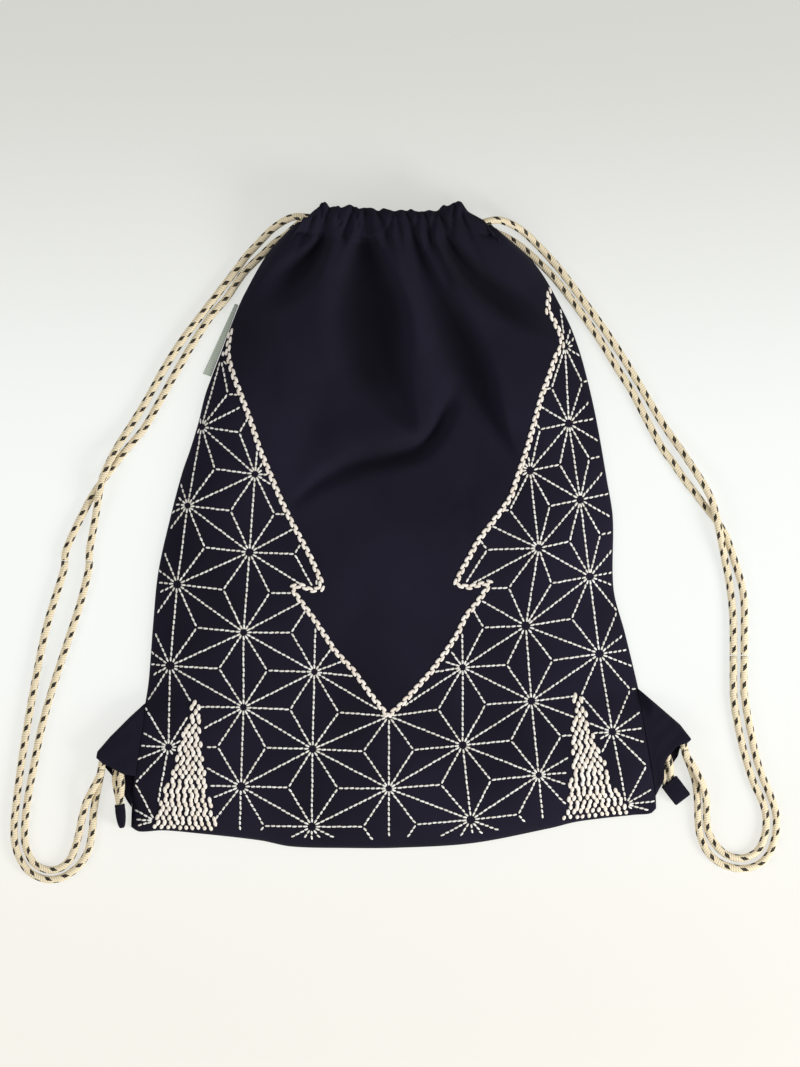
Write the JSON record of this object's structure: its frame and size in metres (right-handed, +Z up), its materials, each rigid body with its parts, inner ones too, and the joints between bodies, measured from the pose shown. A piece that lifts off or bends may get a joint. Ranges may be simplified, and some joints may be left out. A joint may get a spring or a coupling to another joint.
{
  "type": "drawstring knapsack",
  "caption": "Flat drawstring knapsack of stitched dark cloth with a gathered mouth, braided cord shoulder straps, folded corner loops, cord end covers and a side label.",
  "frame": {"origin": "middle of the bag's footprint at the table, on the underside of the back panel", "axes": "+Y along the bag towards the mouth, +X to the right of the front seen from above, +Z up out of the front panel"},
  "size_m": [0.5226, 0.4617, 0.0302],
  "materials": {
    "cloth": "matt dark indigo cotton",
    "cord": "braided cream cord with black flecks",
    "thread": "white cotton stitching thread",
    "label": "plain woven tape"
  },
  "bodies": {
    "bag": {"front_panel": "cloth", "back_panel": "cloth", "front_casing": "cloth", "back_casing": "cloth", "left_front_strand_lower": "cord", "left_back_strand_lower": "cord", "right_front_strand_lower": "cord", "right_back_strand_lower": "cord", "left_border_stitching": "thread", "right_border_stitching": "thread", "left_triangle_stitching": "thread", "right_triangle_stitching": "thread"},
    "left_drawcord": {"left_cord_casing_loop": "cord", "left_front_strand_upper": "cord", "left_back_strand_upper": "cord"},
    "right_drawcord": {"right_cord_casing_loop": "cord", "right_front_strand_upper": "cord", "right_back_strand_upper": "cord"},
    "left_tab": {"left_corner_loop": "cloth", "left_front_tail": "cord", "left_back_tail": "cord", "left_end_cover": "cloth"},
    "right_tab": {"right_corner_loop": "cloth", "right_front_tail": "cord", "right_back_tail": "cord", "right_end_cover": "cloth"},
    "label": {"side_label": "label"}
  },
  "joints": [
    {"name": "left_drawcord_pull", "type": "slide", "parent": "bag", "child": "left_drawcord", "axis": [-1, 0, 0], "range_m": [0, 0.015]},
    {"name": "right_drawcord_pull", "type": "slide", "parent": "bag", "child": "right_drawcord", "axis": [1, 0, 0], "range_m": [0, 0.015]},
    {"name": "left_tab_fold", "type": "hinge", "parent": "bag", "child": "left_tab", "pos_m": [-0.1721, -0.145, 0.0019], "axis": [0.141, 0.99, 0], "range_deg": [0, 40]},
    {"name": "right_tab_fold", "type": "hinge", "parent": "bag", "child": "right_tab", "pos_m": [0.1721, -0.145, 0.0019], "axis": [0.168, -0.9858, 0], "range_deg": [0, 40]},
    {"name": "label_fold", "type": "hinge", "parent": "bag", "child": "label", "pos_m": [-0.1156, 0.1261, 0.0008], "axis": [0.338, 0.9411, 0], "range_deg": [0, 90]}
  ]
}
